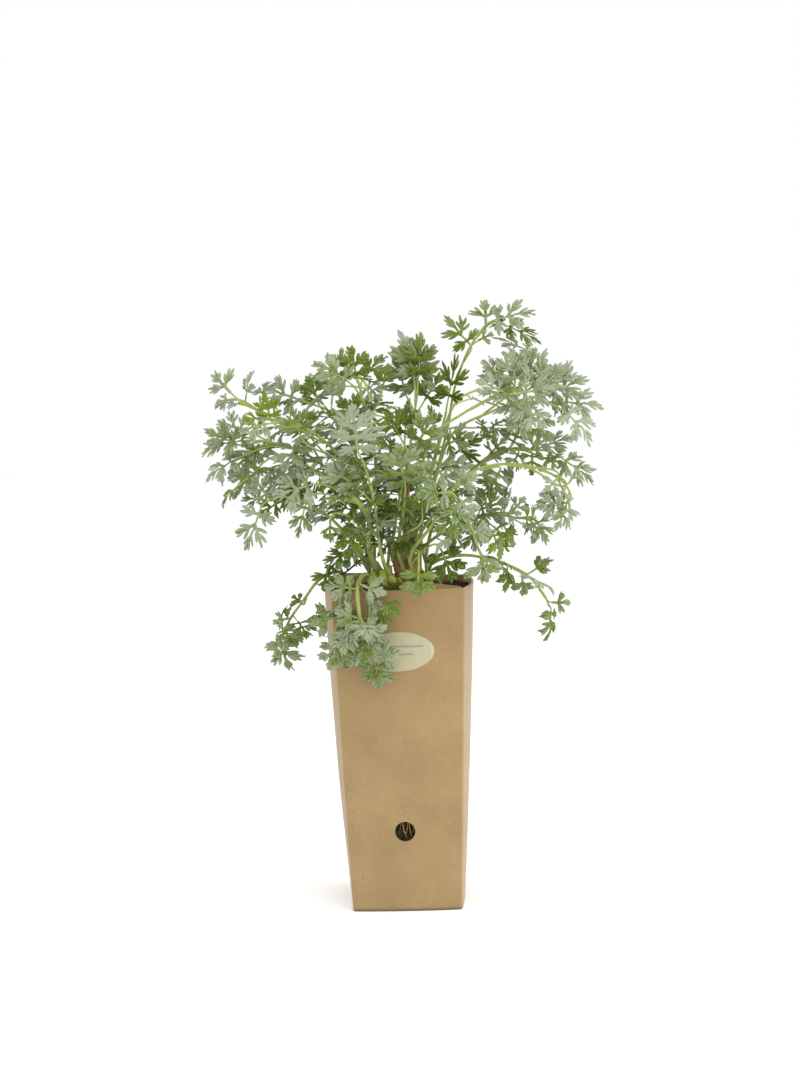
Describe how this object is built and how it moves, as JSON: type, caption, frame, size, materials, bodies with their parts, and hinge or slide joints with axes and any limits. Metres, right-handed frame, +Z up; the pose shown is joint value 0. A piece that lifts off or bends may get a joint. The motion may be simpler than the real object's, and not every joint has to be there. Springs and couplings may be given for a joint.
{
  "type": "potted wormwood plant",
  "caption": "Silver-leaved herb with deep-cut leaves on arching and hanging stems, in soil in a tall tapered cardboard pot with a round air hole and an oval label.",
  "frame": {"origin": "middle of the pot's underside, on the surface that it stands on", "axes": "+Z up along the pot, -Y out of the side with the label and the air hole, +X to the viewer's right"},
  "size_m": [0.2493, 0.2058, 0.3754],
  "materials": {
    "board": "matte",
    "sticker": "satin",
    "soil": "matte",
    "bark": "matte",
    "felt": "matte"
  },
  "bodies": {
    "root": {"cardboard_pot": "board", "oval_label": "sticker", "potting_soil": "soil", "woody_trunk": "bark", "shoot_left_high": "felt", "shoot_left_far": "felt", "shoot_left_arch": "felt", "shoot_left_low": "felt", "shoot_middle_high": "felt", "shoot_middle_left": "felt", "shoot_middle_pale": "felt", "shoot_centre_face": "felt", "shoot_centre_hang": "felt", "shoot_cup_high": "felt", "shoot_cup_right": "felt", "shoot_top": "felt", "shoot_right_cluster": "felt", "shoot_right_far": "felt", "shoot_right_mid": "felt", "shoot_right_curl": "felt", "shoot_right_low": "felt", "shoot_junction": "felt", "shoot_right_droop": "felt", "shoot_front_droop": "felt", "shoot_front_droop_right": "felt", "shoot_front_droop_left": "felt", "shoot_left_droop": "felt", "shoot_back_1": "felt", "shoot_back_2": "felt", "shoot_back_3": "felt", "shoot_back_4": "felt"}
  },
  "joints": []
}
